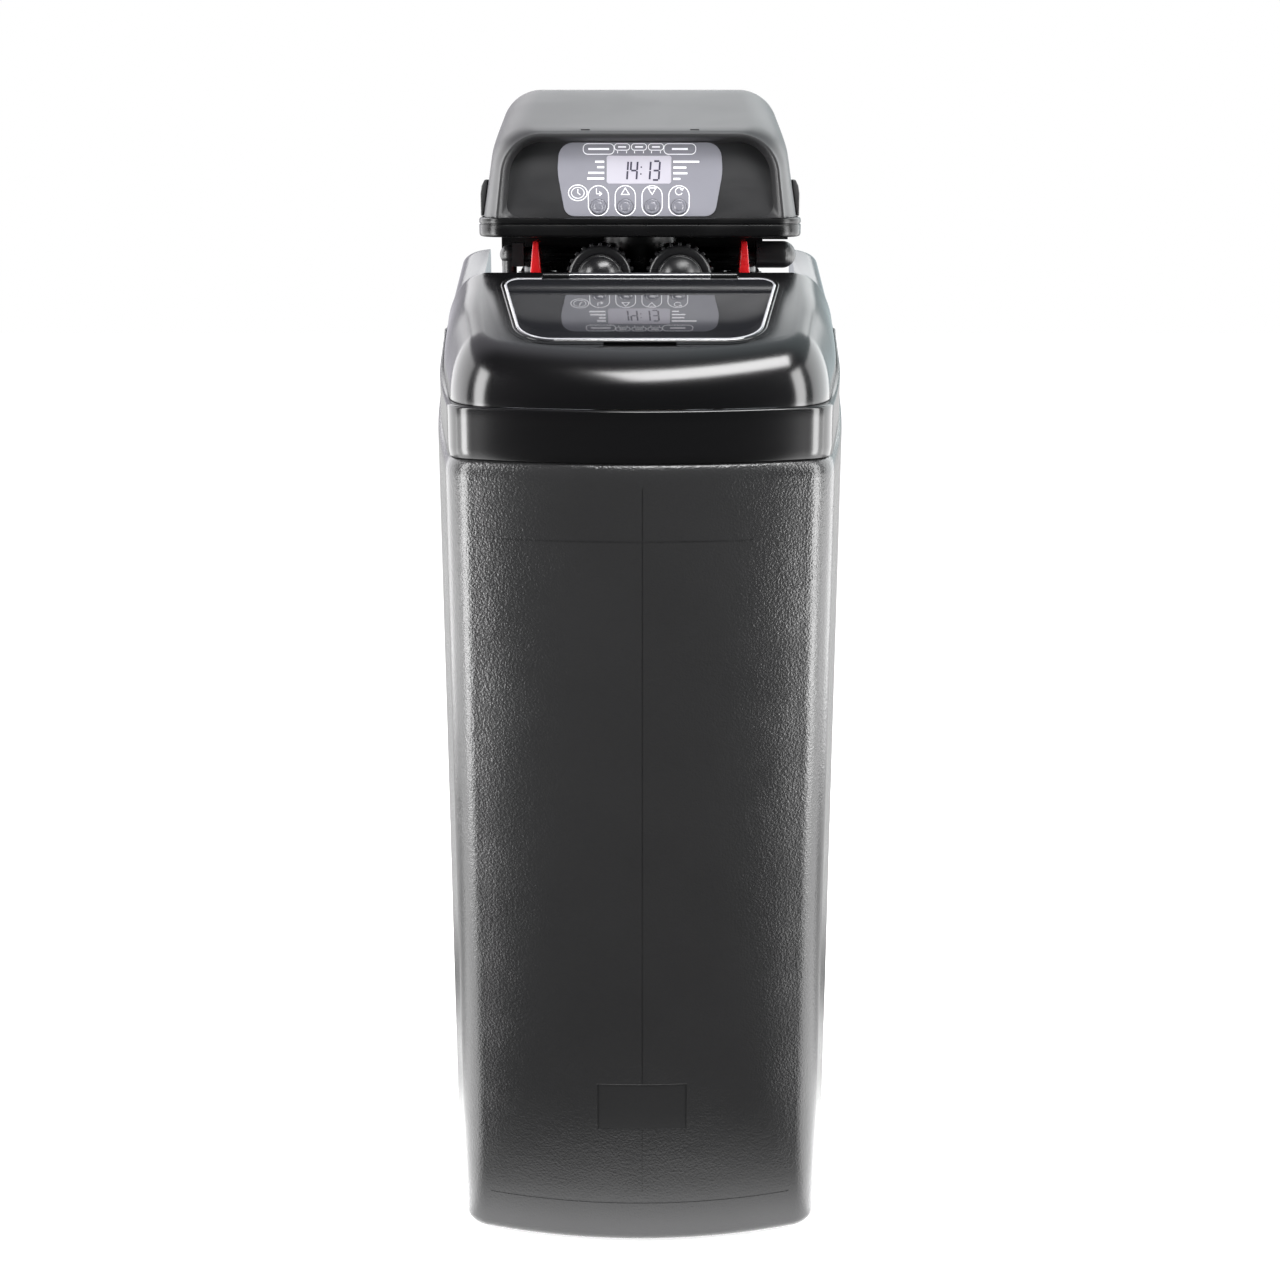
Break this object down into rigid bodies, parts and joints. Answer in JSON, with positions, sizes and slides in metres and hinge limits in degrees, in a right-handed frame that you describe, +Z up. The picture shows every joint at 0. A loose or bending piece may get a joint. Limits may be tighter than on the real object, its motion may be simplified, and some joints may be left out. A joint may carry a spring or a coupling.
{
  "type": "water softener",
  "caption": "Cabinet water softener with a salt lid and window, a resin tank and brine well inside, and a control valve with bypass handles under a hood.",
  "frame": {"origin": "on the floor, under the middle of the cabinet", "axes": "+Z up, the front with the panel faces -Y, +X to the right seen from the front"},
  "size_m": [0.4, 0.5133, 1.1403],
  "materials": {
    "cabinet_black": "moulded polyethylene, fine grain",
    "gloss_black": "polished black",
    "smoked_window": "smoked, polished",
    "steel": "bright",
    "fitting_black": "satin moulded",
    "rubber": "matt",
    "tank_wound": "wound glass fibre",
    "boot_black": "moulded",
    "resin_beads": "loose beads",
    "white_plastic": "moulded",
    "dark_plastic": "moulded",
    "tubing": "extruded",
    "brass": "turned",
    "motor_steel": "plated",
    "red_plastic": "glossy red",
    "hood_black": "satin, fine grain",
    "panel_grey": "printed film",
    "display_glass": "pale backlit display",
    "board_green": "lacquered"
  },
  "bodies": {
    "cabinet": {"cabinet_shell": "cabinet_black", "front_collar": "gloss_black", "rear_deck": "gloss_black", "bracket_screws": "steel", "turbine_spindle": "steel", "overflow_elbow": "fitting_black", "valve_body": "fitting_black", "cap_nuts": "fitting_black", "end_caps": "fitting_black", "bypass_body": "fitting_black", "union_nuts": "fitting_black", "drain_elbow": "fitting_black", "brine_elbow": "fitting_black", "drive_cap": "fitting_black", "overflow_gasket": "rubber", "neck_o_ring": "rubber", "resin_tank": "tank_wound", "tank_boot": "boot_black", "resin_bed": "resin_beads", "riser_tube": "white_plastic", "lower_strainer": "white_plastic", "upper_strainer": "white_plastic", "safety_valve": "white_plastic", "pickup_tube": "white_plastic", "air_check_cage": "white_plastic", "tailpieces": "white_plastic", "brine_well": "dark_plastic", "brine_well_cap": "dark_plastic", "seal_stack": "dark_plastic", "drive_bracket": "dark_plastic", "brine_line": "tubing", "injector": "brass", "drive_motor": "motor_steel", "hood_base": "hood_black", "hood_shell": "hood_black", "hood_clips": "hood_black", "face_plate": "hood_black", "grey_panel": "panel_grey", "display": "display_glass", "circuit_board": "board_green"},
    "lid": {"salt_lid": "gloss_black", "flap_hinge_pin": "steel"},
    "window": {"window_flap": "smoked_window"},
    "inlet_valve": {"inlet_rotor": "dark_plastic", "inlet_handle": "red_plastic"},
    "outlet_valve": {"outlet_rotor": "dark_plastic", "outlet_handle": "red_plastic"},
    "button_clock": {"button_clock": "panel_grey"},
    "button_up": {"button_up": "panel_grey"},
    "button_down": {"button_down": "panel_grey"},
    "button_cycle": {"button_cycle": "panel_grey"},
    "drive_gear": {"drive_gear": "white_plastic"},
    "reduction_gear": {"reduction_gear": "white_plastic"},
    "motor_pinion": {"motor_pinion": "brass"},
    "piston": {"piston": "white_plastic", "piston_rod": "steel"},
    "turbine": {"meter_turbine": "red_plastic"},
    "float": {"brine_float": "white_plastic", "float_rod": "steel"},
    "check_ball": {"air_check_ball": "rubber"}
  },
  "joints": [
    {"name": "lid_lift", "type": "slide", "parent": "cabinet", "child": "lid", "axis": [0, 0, 1], "range_m": [0, 0.15]},
    {"name": "window_hinge", "type": "hinge", "parent": "lid", "child": "window", "pos_m": [0, -0.04195, 0.95877], "axis": [-1, 0, 0], "range_deg": [0, 110]},
    {"name": "inlet_turn", "type": "hinge", "parent": "cabinet", "child": "inlet_valve", "pos_m": [0.107, 0.048, 0.957], "axis": [0, 0, 1], "range_deg": [0, 90]},
    {"name": "outlet_turn", "type": "hinge", "parent": "cabinet", "child": "outlet_valve", "pos_m": [-0.107, 0.048, 0.957], "axis": [0, 0, 1], "range_deg": [0, 90]},
    {"name": "press_clock", "type": "slide", "parent": "cabinet", "child": "button_clock", "axis": [0, 0.9848, -0.1736], "range_m": [0, 0.0012], "stiffness_N_per_m": 1500},
    {"name": "press_up", "type": "slide", "parent": "cabinet", "child": "button_up", "axis": [0, 0.9848, -0.1736], "range_m": [0, 0.0012], "stiffness_N_per_m": 1500},
    {"name": "press_down", "type": "slide", "parent": "cabinet", "child": "button_down", "axis": [0, 0.9848, -0.1736], "range_m": [0, 0.0012], "stiffness_N_per_m": 1500},
    {"name": "press_cycle", "type": "slide", "parent": "cabinet", "child": "button_cycle", "axis": [0, 0.9848, -0.1736], "range_m": [0, 0.0012], "stiffness_N_per_m": 1500},
    {"name": "drive_gear_turn", "type": "hinge", "parent": "cabinet", "child": "drive_gear", "pos_m": [0, 0.062, 1.003], "axis": [0, 0, 1], "range_deg": [0, 1080]},
    {"name": "reduction_turn", "type": "hinge", "parent": "cabinet", "child": "reduction_gear", "pos_m": [0.04505, 0.062, 1.003], "axis": [0, 0, 1], "range_deg": [-4320, 0]},
    {"name": "motor_turn", "type": "hinge", "parent": "cabinet", "child": "motor_pinion", "pos_m": [0.0811, 0.062, 1.014], "axis": [0, 0, 1], "range_deg": [0, 12960]},
    {"name": "piston_stroke", "type": "slide", "parent": "cabinet", "child": "piston", "axis": [0, 0, 1], "range_m": [0, 0.0241]},
    {"name": "turbine_spin", "type": "hinge", "parent": "cabinet", "child": "turbine", "pos_m": [-0.0405, 0.046, 0.954], "axis": [0, 1, 0], "continuous": true},
    {"name": "float_rise", "type": "slide", "parent": "cabinet", "child": "float", "axis": [0, 0, 1], "range_m": [0, 0.04]},
    {"name": "ball_rise", "type": "slide", "parent": "cabinet", "child": "check_ball", "axis": [0, 0, 1], "range_m": [0, 0.014]}
  ],
  "couplings": [
    {"joint": "reduction_turn", "follows": "drive_gear_turn", "ratio": -4},
    {"joint": "motor_turn", "follows": "drive_gear_turn", "ratio": 12},
    {"joint": "piston_stroke", "follows": "drive_gear_turn", "m_per_rad": 0.0012732}
  ]
}
